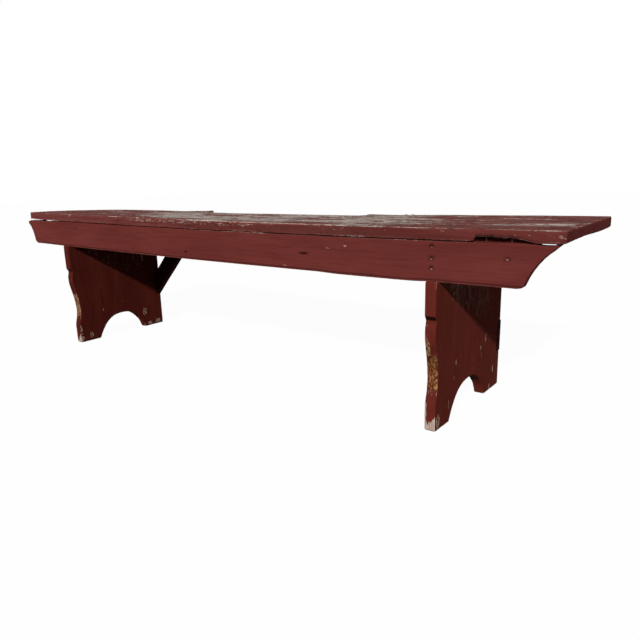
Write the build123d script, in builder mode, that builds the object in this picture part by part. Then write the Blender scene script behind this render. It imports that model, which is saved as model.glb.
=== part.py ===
from build123d import *
from math import cos, radians, sin, tan
import os

# A long bucket bench: a plank seat nailed to two sawn board legs, a front apron let
# into the legs, and a slanting brace let into the back edge of each leg.
# Millimetres. +X runs along the seat, -Y is the front, +Z is up, and the floor is Z = 0.

os.makedirs("parts", exist_ok=True)

# ---- Seat ----
bench_height = 448.0
seat_length = 1817.0
seat_width = 376.0
seat_thickness = 26.0
seat_edge_round = 1.5          # worn rounding along the two long top edges

# ---- Front apron ----
apron_thickness = 22.0
apron_left_height = 82.0       # the board is a little wider towards the right
apron_right_height = 86.0
apron_gap = 1.2                # open joint between the apron and the seat
apron_left_proud = 18.5        # the left tip stands out past the end of the seat
apron_right_short = 8.0        # the right tip stops short of the end of the seat
apron_left_inset = 30.0        # the hollowed end leans in this far towards the bottom
apron_right_inset = 65.0
apron_left_nose = 12.0         # upright stretch at each tip, above the hollow
apron_right_nose = 1.0
apron_hollow = 0.09            # depth of an end's hollow, as a share of its own length
apron_corner_radius = 12.0

# ---- Board legs ----
left_overhang = 205.0          # end of the seat to the outer face of the leg
right_overhang = 243.0
left_back_overhang = 22.0      # back edge of the seat to the back edge of the leg
right_back_overhang = -2.0     # the right leg is wider and stands out past the seat
leg_proud = 11.5               # the legs stand out in front of the apron's face
leg_thickness = 26.0
notch_height = 252.0           # floor to the point of the sawn V notch
notch_depth = 6.5
notch_above = 9.0              # the notch's short upper side, measured upright
notch_below = 18.0             # and its longer lower side
notch_flank_swell = 1.0        # the two sides of the notch are sawn slightly round
knee_depth = 2.5               # how far the knee stays behind the edge above the notch
ankle_depth = 19.0             # hollow in the front edge, below the notch
toe_depth = 10.0               # the foot comes forward again, but not to the knee
toe_height = 60.0
toe_radius = 6.0
left_arch_width = 194.0        # opening sawn into the bottom of each leg
right_arch_width = 208.0
left_arch_shift = -14.5        # middle of the opening, from the middle of the seat
right_arch_shift = -11.5
arch_height = 74.5
arch_apex_shift = 3.0          # its highest point, from the opening's own middle

# ---- Braces ----
brace_thickness = 23.0
brace_width = 56.0
brace_angle = 46.0             # degrees above the floor
brace_foot_height = 92.0       # lower edge of the brace, at the leg's outer face
brace_let_in = 18.0            # depth of its housing in the leg's back edge

# ---- Cut nails ----
nail_length = 60.0
nail_head_length = 6.5
nail_head_width = 4.5
nail_head_thickness = 1.8
nail_shank = 4.2               # at the head, tapering to nail_tip on one side only
nail_tip = 1.8
nail_shank_width = 2.8
brace_nail_length = 48.0       # seat into brace
stray_nail_length = 18.0       # ends inside the apron
apron_nail_drops = (13.0, 38.5, 58.0)   # below the top of the apron, three to a leg
apron_nail_lead = 5.0          # they stand left of the leg's middle
apron_row_start = 67.0         # end of the seat to the first nail of the seat's front row
apron_row_end = 150.0
apron_row_count = 7
apron_row_extra = 49.5         # one more nail, past the last of the row
stray_nail_inset = 96.5        # from the right tip of the apron
stray_nail_drop = 31.0
seat_nail_spare = 18.0         # front seat nail, behind the points of the apron's nails
seat_nail_back_inset = 34.0
brace_leg_nail_shares = (0.32, 0.7)     # up the brace, where it crosses the leg
brace_seat_nail_shares = (0.16, 0.42)   # along the top of the brace

# ---- Worked-out places ----
left_tip = -(seat_length + apron_left_proud) / 2
seat_left = left_tip + apron_left_proud
seat_right = seat_left + seat_length
right_tip = seat_right - apron_right_short
leg_top = bench_height - seat_thickness
apron_top = leg_top - apron_gap
brace_proud = brace_thickness - brace_let_in           # it stands out behind the leg
back_reach = max(0, brace_proud - right_back_overhang)   # right brace, past the seat's back
leg_front = -(leg_proud + seat_width + back_reach) / 2
front = leg_front + leg_proud                          # face of the apron and of the seat
apron_back = front + apron_thickness
seat_middle = front + seat_width / 2
seat_back = front + seat_width
left_leg_back = seat_back - left_back_overhang
right_leg_back = seat_back - right_back_overhang
left_leg_outer = seat_left + left_overhang
right_leg_outer = seat_right - right_overhang
left_leg_middle = left_leg_outer + leg_thickness / 2
right_leg_middle = right_leg_outer - leg_thickness / 2
brace_slope = tan(radians(brace_angle))
brace_rise = brace_width / cos(radians(brace_angle))   # its width, measured upright
brace_run = brace_width / sin(radians(brace_angle))    # and measured level
apron_left_low = (left_tip + apron_left_inset, apron_top - apron_left_height)
apron_right_low = (right_tip - apron_right_inset, apron_top - apron_right_height)


# ---- Nails ----
def cut_nail(length):
    """One cut nail: the top of its head at the origin, its shank down -Z."""
    with BuildPart() as nail:
        with BuildSketch():
            Rectangle(nail_head_length, nail_head_width)
        extrude(amount=-nail_head_thickness)
        with BuildSketch(Plane.XY.offset(-nail_head_thickness)):
            Rectangle(nail_shank, nail_shank_width)
        with BuildSketch(Plane.XY.offset(-length)):
            Rectangle(nail_tip, nail_shank_width)
        loft(ruled=True)
    return nail.part


def nails(name, length, planes):
    """A named group of like nails, one driven in at each plane."""
    nail = cut_nail(length)
    with BuildPart() as group:
        with Locations(*planes):
            add(nail)
    group.part.label = name
    export_step(group.part, f"parts/{name}.step")
    return group.part


def into_top(x, y):
    return Plane(origin=(x, y, bench_height))


def into_front(x, z):
    return Plane(origin=(x, front, z), x_dir=(1, 0, 0), z_dir=(0, -1, 0))


def into_back(x, y, z):
    return Plane(origin=(x, y, z), x_dir=(1, 0, 0), z_dir=(0, 1, 0))


def apron_leg_nails(side, leg_middle):
    planes = [into_front(leg_middle - apron_nail_lead, apron_top - drop) for drop in apron_nail_drops]
    return nails(f"apron_nails_{side}", nail_length, planes)


def seat_leg_nails(side, leg_middle, leg_back):
    first = front + nail_length + seat_nail_spare
    last = leg_back - seat_nail_back_inset
    planes = [into_top(leg_middle, y) for y in (first, (first + last) / 2, last)]
    return nails(f"seat_nails_{side}", nail_length, planes)


def brace_leg_nails(side, leg_middle, leg_back):
    foot = brace_foot_height + brace_slope * leg_thickness / 2
    planes = [
        into_back(leg_middle, leg_back + brace_proud, foot + share * brace_rise)
        for share in brace_leg_nail_shares
    ]
    return nails(f"brace_foot_nails_{side}", nail_length, planes)


def brace_seat_nails(side, leg_outer, leg_back, inward):
    near = (leg_top - brace_foot_height - brace_rise) / brace_slope
    brace_back = leg_back + brace_proud
    under_seat = (brace_back - brace_thickness + min(brace_back, seat_back)) / 2
    planes = [
        into_top(leg_outer + inward * (near + share * brace_run), under_seat)
        for share in brace_seat_nail_shares
    ]
    return nails(f"brace_head_nails_{side}", brace_nail_length, planes)


def seat_apron_nails():
    first = seat_left + apron_row_start
    last = seat_right - apron_row_end
    step = (last - first) / (apron_row_count - 1)
    places = [first + step * i for i in range(apron_row_count)] + [last + apron_row_extra]
    planes = [into_top(x, front + apron_thickness / 2) for x in places]
    return nails("seat_nails_front", nail_length, planes)


left_apron_nails = apron_leg_nails("left", left_leg_middle)
right_apron_nails = apron_leg_nails("right", right_leg_middle)
left_seat_nails = seat_leg_nails("left", left_leg_middle, left_leg_back)
right_seat_nails = seat_leg_nails("right", right_leg_middle, right_leg_back)
left_foot_nails = brace_leg_nails("left", left_leg_middle, left_leg_back)
right_foot_nails = brace_leg_nails("right", right_leg_middle, right_leg_back)
left_head_nails = brace_seat_nails("left", left_leg_outer, left_leg_back, 1)
right_head_nails = brace_seat_nails("right", right_leg_outer, right_leg_back, -1)
front_row_nails = seat_apron_nails()
stray_nail = nails(
    "apron_stray_nail",
    stray_nail_length,
    [into_front(right_tip - stray_nail_inset, apron_top - stray_nail_drop)],
)


# ---- Seat: one wide plank, with the nails' holes through it ----
with BuildPart() as seat:
    with BuildSketch(Plane.XY.offset(leg_top)):
        with Locations(((seat_left + seat_right) / 2, seat_middle)):
            Rectangle(seat_length, seat_width)
    extrude(amount=seat_thickness)
    fillet(seat.faces().sort_by(Axis.Z)[-1].edges().filter_by(Axis.X), seat_edge_round)
    for driven in (left_seat_nails, right_seat_nails, front_row_nails, left_head_nails, right_head_nails):
        add(driven, mode=Mode.SUBTRACT)
seat.part.label = "seat_board"
export_step(seat.part, "parts/seat_board.step")


# ---- Front apron: a board with a hollow sawn into each end ----
def hollowed_end(tip, low, nose, inward):
    """The line down one end of the apron: a short nose, then a shallow hollow arc."""
    high = (tip, apron_top - nose)
    Line((tip, apron_top), high)
    SagittaArc(high, low, inward * apron_hollow * (Vector(*high) - Vector(*low)).length)


with BuildPart() as apron:
    with BuildSketch(Plane.XZ.offset(-front)) as apron_face:
        with BuildLine():
            hollowed_end(left_tip, apron_left_low, apron_left_nose, 1)
            hollowed_end(right_tip, apron_right_low, apron_right_nose, -1)
            Line((left_tip, apron_top), (right_tip, apron_top))
            Line(apron_left_low, apron_right_low)
        make_face()
        fillet(apron_face.vertices().sort_by(Axis.Y)[:2], apron_corner_radius)
    extrude(amount=-apron_thickness)
    for driven in (left_apron_nails, right_apron_nails, front_row_nails, stray_nail):
        add(driven, mode=Mode.SUBTRACT)
apron.part.label = "front_apron"
export_step(apron.part, "parts/front_apron.step")


# ---- Braces: flat boards, cut level under the seat and upright at the leg ----
def slanting_brace(name, leg_outer, leg_back, inward, driven_nails):
    foot = brace_foot_height
    near = (leg_top - foot - brace_rise) / brace_slope
    far = near + brace_run
    with BuildPart() as brace:
        with BuildSketch(Plane.XZ.offset(-leg_back - brace_proud)):
            with BuildLine():
                Polyline(
                    (leg_outer, foot),
                    (leg_outer, foot + brace_rise),
                    (leg_outer + inward * near, leg_top),
                    (leg_outer + inward * far, leg_top),
                    close=True,
                )
            make_face()
        extrude(amount=brace_thickness)
        for driven in driven_nails:
            add(driven, mode=Mode.SUBTRACT)
    brace.part.label = name
    export_step(brace.part, f"parts/{name}.step")
    return brace.part


left_brace = slanting_brace(
    "left_brace", left_leg_outer, left_leg_back, 1, (left_foot_nails, left_head_nails)
)
right_brace = slanting_brace(
    "right_brace", right_leg_outer, right_leg_back, -1, (right_foot_nails, right_head_nails)
)


# ---- Board legs: sawn front edge, arched foot, housings for the apron and the brace ----
def apron_bottom_at(x):
    (left_x, left_z), (right_x, right_z) = apron_left_low, apron_right_low
    return left_z + (right_z - left_z) * (x - left_x) / (right_x - left_x)


def leg_front_edge(housing_bottom):
    """Down the front: apron housing, V notch, rounded knee, ankle hollow and toe."""
    above = (leg_front, notch_height + notch_above)
    point = (leg_front + notch_depth, notch_height)
    below = (leg_front + knee_depth, notch_height - notch_below)
    knee = notch_height - 1.4 * notch_below
    toe = leg_front + toe_depth
    Polyline((apron_back, leg_top), (apron_back, housing_bottom), (leg_front, housing_bottom), above)
    SagittaArc(above, point, notch_flank_swell / 2)
    SagittaArc(point, below, notch_flank_swell)
    Line(below, (leg_front + knee_depth, knee))
    Spline(
        (leg_front + knee_depth, knee),
        (leg_front + 0.62 * ankle_depth, 0.76 * knee),
        (leg_front + ankle_depth, 0.55 * knee),
        (leg_front + 0.80 * ankle_depth, 0.37 * knee),
        (toe, toe_height),
        tangents=((0, -1), (0, -1)),
    )
    Line((toe, toe_height), (toe, toe_radius))
    RadiusArc((toe, toe_radius), (toe + toe_radius, 0), -toe_radius)


def leg_arch(middle, half):
    """The opening under the leg: steep at the feet and flatter over the middle."""
    Spline(
        (middle - half, 0),
        (middle - 0.80 * half, 0.46 * arch_height),
        (middle - 0.46 * half, 0.87 * arch_height),
        (middle + arch_apex_shift, arch_height),
        (middle + 0.46 * half, 0.88 * arch_height),
        (middle + 0.78 * half, 0.53 * arch_height),
        (middle + half, 0),
        tangents=((0.45, 1), (0.35, -1)),
    )


def board_leg(name, low_x, leg_back, arch, brace, driven_nails):
    housing_bottom = apron_bottom_at(low_x)
    arch_shift, arch_width = arch
    arch_middle = seat_middle + arch_shift
    toe_back = leg_front + toe_depth + toe_radius
    with BuildPart() as leg:
        with BuildSketch(Plane.YZ.offset(low_x)):
            with BuildLine():
                leg_front_edge(housing_bottom)
                Line((toe_back, 0), (arch_middle - arch_width / 2, 0))
                leg_arch(arch_middle, arch_width / 2)
                Polyline((arch_middle + arch_width / 2, 0), (leg_back, 0), (leg_back, leg_top),
                         (apron_back, leg_top))
            make_face()
        extrude(amount=leg_thickness)
        add(apron.part, mode=Mode.SUBTRACT)
        add(brace, mode=Mode.SUBTRACT)
        for driven in driven_nails:
            add(driven, mode=Mode.SUBTRACT)
    leg.part.label = name
    export_step(leg.part, f"parts/{name}.step")
    return leg.part


left_leg = board_leg(
    "left_leg", left_leg_outer, left_leg_back, (left_arch_shift, left_arch_width),
    left_brace, (left_apron_nails, left_seat_nails, left_foot_nails),
)
right_leg = board_leg(
    "right_leg", right_leg_outer - leg_thickness, right_leg_back, (right_arch_shift, right_arch_width),
    right_brace, (right_apron_nails, right_seat_nails, right_foot_nails),
)
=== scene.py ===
# %% [markdown]
# # A worn bucket bench
# The bench is six sawn boards and a handful of cut nails. The imported model gives each
# board its true size and place. This lesson gives each one the skin that a century of
# use leaves: soft arrises, chips, raised grain, and red paint rubbed back to the wood.
# We start by loading the imported model, and we keep its parts to read their boxes from.

# %% Load the imported model
import itertools
from math import cos, pi, radians, sin

import bpy
import numpy as np
from mathutils import Euler, Matrix, Vector


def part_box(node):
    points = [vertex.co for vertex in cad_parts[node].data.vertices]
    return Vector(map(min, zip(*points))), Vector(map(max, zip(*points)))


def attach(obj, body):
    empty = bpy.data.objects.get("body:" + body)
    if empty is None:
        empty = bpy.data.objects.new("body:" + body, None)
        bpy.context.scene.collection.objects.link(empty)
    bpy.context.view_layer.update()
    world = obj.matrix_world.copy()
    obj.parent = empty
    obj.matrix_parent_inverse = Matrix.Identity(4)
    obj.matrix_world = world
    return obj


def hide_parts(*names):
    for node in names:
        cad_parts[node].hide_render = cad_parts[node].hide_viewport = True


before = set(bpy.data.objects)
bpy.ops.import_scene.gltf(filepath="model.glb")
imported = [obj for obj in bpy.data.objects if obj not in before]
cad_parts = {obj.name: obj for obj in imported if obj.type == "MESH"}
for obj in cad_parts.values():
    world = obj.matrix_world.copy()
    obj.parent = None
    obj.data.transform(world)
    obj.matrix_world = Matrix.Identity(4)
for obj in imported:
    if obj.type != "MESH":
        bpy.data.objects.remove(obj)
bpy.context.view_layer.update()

print("nodes:", ", ".join(sorted(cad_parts)))

# %% [markdown]
# ## Smooth random numbers
# Wood never wears evenly, so every shape below needs a gentle randomness. We could use
# Blender's own textures, but a mesh with many thousand points is quicker to handle as
# one array. The noise below gives each cell of a 3-D grid a fixed random number and
# blends between them. The same seed always gives the same bench.


# %% Noise for shapes
def hashed(cells, seed):
    """A repeatable random number from 0 to 1 for each whole-numbered cell."""
    mixed = (cells * (73856093, 19349663, 83492791)).sum(axis=-1) + seed * 2654435761
    mixed = ((mixed ^ (mixed >> 13)) * 1274126177) & 0xFFFFFFFF
    return ((mixed ^ (mixed >> 16)) & 0xFFFF) / 0xFFFF


def ripple(points, size, seed):
    """Smooth noise from 0 to 1 at each point; size is its cell along X, Y and Z."""
    scaled = points / np.array(size)
    cell = np.floor(scaled).astype(np.int64)
    step = scaled - cell
    step = step * step * (3 - 2 * step)
    total = 0.0
    for corner in itertools.product((0, 1), repeat=3):
        share = np.where(corner, step, 1 - step).prod(axis=-1)
        total = total + share * hashed(cell + corner, seed)
    return total


def ripples(points, size, seed, layers=3):
    """Noise from 0 to 1 with finer and fainter layers on top of each other."""
    shares = 0.5 ** np.arange(layers)
    parts = [
        share * ripple(points * 2.0**layer, size, seed + 7 * layer)
        for layer, share in enumerate(shares)
    ]
    return sum(parts) / shares.sum()


def ease(values, low, high):
    """0 below low, 1 above high, and a smooth step between them."""
    step = np.clip((values - low) / (high - low), 0, 1)
    return step * step * (3 - 2 * step)


def span(values, start, full, waning, end):
    """0 outside start and end, 1 between full and waning, and smooth steps between."""
    return ease(values, start, full) * (1 - ease(values, waning, end))


print("a few noise values:", ripple(np.arange(9.0).reshape(3, 3) / 7, (1, 1, 1), 1).round(3))

# %% [markdown]
# ## Boards as grids
# A plank has a grain, so its detail is long one way and fine the other way. A grid whose
# cells are long with the grain and narrow across it holds that detail with few faces.
# So a straight board is built as the skin of a box-shaped grid, with extra lines close
# to each arris, where the wood is rounded most.


# %% The skin of a box-shaped grid
EDGE_LINES = np.array((0, 0.0006, 0.0014, 0.0026, 0.0045))


def lines(length, step, extra=()):
    """Places of the grid lines along one side of a board, closer at its two edges."""
    inner_start = EDGE_LINES[-1]
    inner_count = max(2, round((length - 2 * inner_start) / step) + 1)
    inner = np.linspace(inner_start, length - inner_start, inner_count)
    return np.unique(np.concatenate([EDGE_LINES[:-1], inner, length - EDGE_LINES[:-1], extra]))


def block(xs, ys, zs):
    """Points and faces of a box-shaped grid's skin, with all faces turned outwards."""
    number = np.arange(len(xs) * len(ys) * len(zs)).reshape(len(xs), len(ys), len(zs))
    sides = (
        number[0].T, number[-1],
        number[:, 0], number[:, -1].T,
        number[:, :, 0].T, number[:, :, -1],
    )
    faces = np.concatenate([
        np.stack([s[:-1, :-1], s[1:, :-1], s[1:, 1:], s[:-1, 1:]], axis=-1).reshape(-1, 4)
        for s in sides
    ])
    grid = np.stack(np.meshgrid(xs, ys, zs, indexing="ij"), axis=-1).reshape(-1, 3)
    used, faces = np.unique(faces, return_inverse=True)
    return grid[used], faces.reshape(-1, 4)


small_points, small_faces = block(*(lines(side, 0.05) for side in (0.30, 0.10, 0.02)))
print("a small block:", len(small_points), "points,", len(small_faces), "faces")


# %% Arrises and normals
def rounded(points, size, radius):
    """Rounds the arrises of a block that runs from the origin to size."""
    radius = radius[:, None]
    core = np.clip(points, radius, np.array(size) - radius)
    away = points - core
    reach = np.linalg.norm(away, axis=1, keepdims=True)
    return core + away * radius / np.maximum(reach, 1e-9)


def arris_distance(points, size):
    """How far each point of a block's skin is from the nearest arris."""
    near = np.minimum(points, np.array(size) - points)
    return np.sort(near, axis=1)[:, 1]


def normals_of(points, faces):
    """Unit normals at the points, from the faces round each."""
    a, b, c, d = (points[faces[:, i]] for i in range(4))
    across = np.cross(c - a, d - b)
    total = np.stack([
        np.bincount(faces.ravel(), np.repeat(across[:, axis], 4), len(points))
        for axis in range(3)
    ], axis=1)
    return total / np.maximum(np.linalg.norm(total, axis=1, keepdims=True), 1e-12)


def pressed(points, faces, depth):
    """The points, each moved in along its normal by its own depth."""
    return points - normals_of(points, faces) * depth[:, None]


corner = rounded(np.zeros((1, 3)), (0.30, 0.10, 0.02), np.array([0.003]))
print("a corner rounded by 3 mm moves in to", corner.round(5))


def add_object(name, data):
    """Puts an object that holds a mesh, a lamp or a camera into the scene."""
    made = bpy.data.objects.new(name, data)
    bpy.context.scene.collection.objects.link(made)
    return made


def add_piece(name, points, faces, values, node, finish):
    """Makes one mesh piece with its surface values, which stands for a CAD node."""
    mesh = bpy.data.meshes.new(name)
    mesh.from_pydata(points.tolist(), [], [list(face) for face in faces])
    mesh.shade_smooth()
    for label, value in values.items():
        mesh.attributes.new(label, "FLOAT", "POINT").data.foreach_set("value", value)
    mesh.materials.append(finish)
    piece = add_object(name, mesh)
    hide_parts(node)
    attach(piece, "root")
    print(f"{name}: {len(points)} points, {len(faces)} faces")


# %% [markdown]
# ## Writing shader maths as Python
# A material is a graph of nodes, and long formulas are hard to follow as nodes. The
# class below wraps one socket and lets us write sums on it, so that `1 - mask` adds the
# Math node by itself. Colours go through Mix nodes instead, because a Math node would
# turn them grey. Every other node comes from the one method `node`.


# %% One class for sockets
class Wire:
    """A node tree's socket. Arithmetic on it adds Math nodes."""

    def __init__(self, tree, socket=None):
        self.tree, self.socket = tree, socket

    def node(self, kind, settings, sockets, output=0):
        """Adds a node: its type, its settings, then its sockets' values or links."""
        made = self.tree.nodes.new(kind)
        for name, value in settings.items():
            setattr(made, name, value)
        for name, value in sockets.items():
            if isinstance(value, Wire):
                self.tree.links.new(value.socket, made.inputs[name])
            else:
                made.inputs[name].default_value = value
        return Wire(self.tree, made.outputs[output])

    def maths(self, operation, left, right=0.0):
        return self.node("ShaderNodeMath", {"operation": operation}, {0: left, 1: right})

    def __add__(self, other):
        return self.maths("ADD", self, other)

    def __sub__(self, other):
        return self.maths("SUBTRACT", self, other)

    def __rsub__(self, other):
        return self.maths("SUBTRACT", other, self)

    def __mul__(self, other):
        return self.maths("MULTIPLY", self, other)

    __radd__, __rmul__ = __add__, __mul__

    def into(self, shader, name):
        """Links this wire to one of a shader's sockets."""
        self.tree.links.new(self.socket, shader.inputs[name])

    def larger(self, other):
        return self.maths("MAXIMUM", self, other)

    def step(self, low, high):
        """0 below low, 1 above high, and smooth between them."""
        settings = {"interpolation_type": "SMOOTHSTEP"}
        return self.node("ShaderNodeMapRange", settings, {"Value": self, 1: low, 2: high})

    def mix(self, low, high):
        """A colour between low and high, by this wire's value."""
        settings = {"data_type": "RGBA", "clamp_factor": True}
        return self.node("ShaderNodeMix", settings, {0: self, 6: low, 7: high}, output=2)


def rgb(red, green, blue):
    """A colour given as it looks on a screen, from 0 to 255, as Blender wants it."""
    shares = (np.array((red, green, blue)) / 255 + 0.055) / 1.055
    return (*(shares**2.4), 1.0)


print("a barn red, as Blender wants it:", [round(v, 3) for v in rgb(104, 48, 45)])

# %% [markdown]
# ## The finish of an old painted board
# The real surface has layers: weathered wood below, then a thin coat of red oxide paint
# that has sunk into the grain, chipped off the arrises and rubbed through where hands
# and boots touch it. Each point of a board's mesh carries five values for this:
# `wear`, how likely the paint is gone; `age`, from fresh golden wood to grey wood;
# `fade`, how far sun and rain have made the paint chalky and patchy, and on the apron a
# painted highlight along its arrises; `stain`, the dirt and rust round nails and in
# cracks, and painted shade under the legs' arches, along the foot of the apron and over
# the braces; and `pale`, where whitish filler and old undercoat show, and on the apron a
# painted highlight along its arrises. The material adds noise that is stretched along
# the grain, so that paint is lost in streaks and flakes, as it is on real wood.


# %% Noise in a material
SURFACE_VALUES = ("wear", "age", "fade", "stain", "pale")

# each noise: its spots' size along, across and into the board, detail, roughness, twist
GRAIN_NOISES = {
    "rings": ((0.30, 0.011, 0.020), 4, 0.55, 0.6),         # the broad bands of the sawn rings
    "fibres": ((0.060, 0.0016, 0.0016), 4, 0.65, 0.0),     # the finest raised grain
    "streaks": ((0.110, 0.0065, 0.0065), 5, 0.6, 0.3),     # long strips where paint thins
    "flakes": ((0.016, 0.0045, 0.0045), 5, 0.62, 0.0),     # short chips of paint
    "specks": ((0.011, 0.0026, 0.0026), 3, 0.5, 0.0),      # the smallest chips
    "crumbs": ((0.014, 0.0034, 0.0034), 3, 0.6, 0.0),      # paint that stays in bare wood
    "spots": ((0.0090, 0.0046, 0.0046), 2, 0.55, 0.0),     # flecks of paint on golden wood
    "pits": ((0.034, 0.012, 0.012), 4, 0.65, 0.0),         # small dark hollows
    "scars": ((0.085, 0.030, 0.030), 4, 0.6, 0.4),         # larger bruised places
    "patches": ((0.160, 0.050, 0.050), 5, 0.65, 0.0),      # where whole areas are bare or sound
    "clouds": ((0.22, 0.06, 0.06), 3, 0.55, 0.0),          # slow changes of colour
}


def grain_space(wire, turn, shift):
    """Coordinates with the grain along X: turn is the rotation that undoes a board's slant."""
    place = wire.node("ShaderNodeTexCoord", {}, {}, output="Object")
    sockets = {"Vector": place, "Rotation": turn, "Location": (shift, 1.7 * shift, 0.6 * shift)}
    return wire.node("ShaderNodeMapping", {"vector_type": "POINT"}, sockets)


def stretched(space, sizes, detail=3.0, rough=0.55, twist=0.0):
    """Noise from 0 to 1 whose spots measure about sizes: along, across and into the board."""
    scaled = space.node(
        "ShaderNodeMapping", {"vector_type": "POINT"},
        {"Vector": space, "Scale": tuple(1 / size for size in sizes)},
    )
    return space.node(
        "ShaderNodeTexNoise", {},
        {"Vector": scaled, "Scale": 1.0, "Detail": detail, "Roughness": rough, "Distortion": twist},
    )


def value_of(wire, label):
    return wire.node("ShaderNodeAttribute", {"attribute_name": label}, {}, output="Fac")


def bumped(height, strength, distance):
    """Normals for a surface that rises and falls with height."""
    sockets = {"Strength": strength, "Distance": distance, "Height": height}
    return height.node("ShaderNodeBump", {}, sockets)


def new_finish(name):
    """A new material, with its shader and a wire to start from."""
    finish = bpy.data.materials.new(name)
    finish.use_nodes = True
    tree = finish.node_tree
    return finish, tree.nodes["Principled BSDF"], Wire(tree)


print("noises in a board:", ", ".join(GRAIN_NOISES))


# %% The wood and its coat
DARK_GRAIN, OPEN_GRAIN = rgb(72, 52, 46), rgb(52, 20, 18)
# the next two colours, chalky paint and whitish filler, also serve as painted highlight on the apron's
# arrises
CHALK_AND_HIGHLIGHT = (rgb(112, 60, 56), rgb(142, 90, 84))
FILLER_AND_HIGHLIGHT = (rgb(162, 130, 116), rgb(206, 188, 170))
PRIMER, BARE_CHIP = rgb(172, 130, 120), rgb(184, 166, 156)
# the last colour here, nearly black, is for dirt and rust and also for painted shade
SCAR, PIT, DIRT_AND_SHADE = rgb(84, 46, 40), rgb(60, 30, 25), rgb(22, 9, 7)


def bare_wood(noise, age, fade, paint, grey_wood, gold_wood):
    """Golden where the wood is fresh, grey where it is old, with paint left in its pores."""
    rings, fibres = noise["rings"], noise["fibres"]
    grey = rings.step(0.30, 0.70).mix(grey_wood[0], grey_wood[1])
    grey = (fibres.step(0.42, 0.68) * 0.75).mix(grey, grey_wood[2])
    golden = rings.step(0.35, 0.65).mix(gold_wood[0], gold_wood[1])
    golden = (noise["spots"].step(0.47, 0.53) * 0.95).mix(golden, gold_wood[2])
    bare = (age + (noise["clouds"] - 0.5) * 0.4).step(0.25, 0.75).mix(golden, grey)
    bare = ((1 - fibres.step(0.30, 0.46)) * 0.75).mix(bare, DARK_GRAIN)
    return (noise["crumbs"].step(0.56, 0.63) * fade * 0.75).mix(bare, paint[2])


def old_paint(noise, fade, paint):
    """The red coat: cloudy and streaky, chalky where it has faded and where the apron's arrises carry
    a painted highlight, thin over open grain.
    """
    coat = noise["clouds"].step(0.30, 0.72).mix(paint[0], paint[1])
    coat = (noise["streaks"].step(0.45, 0.75) * 0.55).mix(coat, paint[2])
    chalky = noise["streaks"].step(0.35, 0.65).mix(*CHALK_AND_HIGHLIGHT)
    coat = fade.mix(coat, chalky)
    return ((1 - noise["fibres"].step(0.28, 0.42)) * 0.5).mix(coat, OPEN_GRAIN)


print("dirt:", [round(v, 4) for v in DIRT_AND_SHADE])


# %% The finish of a board
def board_finish(name, turn, paint, grey_wood, gold_wood, shift, flecks):
    """Worn red paint over weathered wood; a lower flecks gives more small chips."""
    finish, shader, start = new_finish(name)
    space = grain_space(start, turn, shift)
    noise = {label: stretched(space, *settings) for label, settings in GRAIN_NOISES.items()}
    wear, age, fade, stain, pale = (value_of(start, label) for label in SURFACE_VALUES)
    rings, fibres, streaks = noise["rings"], noise["fibres"], noise["streaks"]
    flakes, specks, pits = noise["flakes"], noise["specks"], noise["pits"]

    # where paint is gone, where primer rims the gaps, where filler and small chips show, and where the
    # apron's arrises carry a painted highlight
    chance = wear + (streaks - 0.5) * 0.85 + (flakes - 0.5) * (0.40 + fade * 0.5)
    chance = chance + (specks - 0.5) * 0.65 + (noise["patches"] - 0.5) * fade * 2.7
    gone = chance.step(0.54, 0.64)
    primer = chance.step(0.46, 0.54) * (1 - gone) * flakes.step(0.45, 0.56)
    ragged = (specks - 0.5) * 1.1 + (flakes - 0.5) * 0.5 + (streaks - 0.5) * 0.3
    whitish = (pale + ragged).step(0.50, 0.60)
    chips = (specks + (noise["clouds"] - 0.5) * 0.22 + wear * 0.10).step(flecks, flecks + 0.02)
    filler_and_highlight = fibres.step(0.40, 0.60).mix(*FILLER_AND_HIGHLIGHT)

    # the layers of colour, each laid over the last
    colour = (primer * 0.55).mix(old_paint(noise, fade, paint), PRIMER)
    colour = gone.mix(colour, bare_wood(noise, age, fade, paint, grey_wood, gold_wood))
    colour = (chips * 0.85).mix(colour, BARE_CHIP)
    # whitish filler, which on the apron's arrises is a painted highlight
    colour = (whitish * (0.40 + pale * 0.8)).mix(colour, filler_and_highlight)
    colour = (noise["scars"].step(0.55, 0.62) * fade * 0.7).mix(colour, SCAR)
    colour = ((1 - pits.step(0.38, 0.45)) * fade * 0.85).mix(colour, PIT)
    # dark dirt and rust, and painted shade under the legs' arches, along the apron's foot and over the
    # braces
    colour = (stain * (0.65 + streaks * 0.6)).mix(colour, DIRT_AND_SHADE)
    colour.into(shader, "Base Color")

    # bare wood is rougher than paint, and nothing on this bench shines
    rough = 0.74 + gone * 0.14 + (fibres - 0.5) * 0.16
    rough.into(shader, "Roughness")
    shader.inputs["Specular IOR Level"].default_value = 0.012

    # the coat has a thickness, and the grain stands up most where sun and rain got at it
    height = rings * 0.25 + fibres * 0.50 + streaks * 0.30 + (1 - gone.larger(chips)) * 0.35
    height = height + fibres.step(0.40, 0.62) * 0.12 + pits.step(0.36, 0.46) * 0.3
    height = height * (1 + fade * 1.2)
    bumped(height, 0.55, 0.0011).into(shader, "Normal")
    print(f"{name}: {len(start.tree.nodes)} nodes")
    return finish


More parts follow.
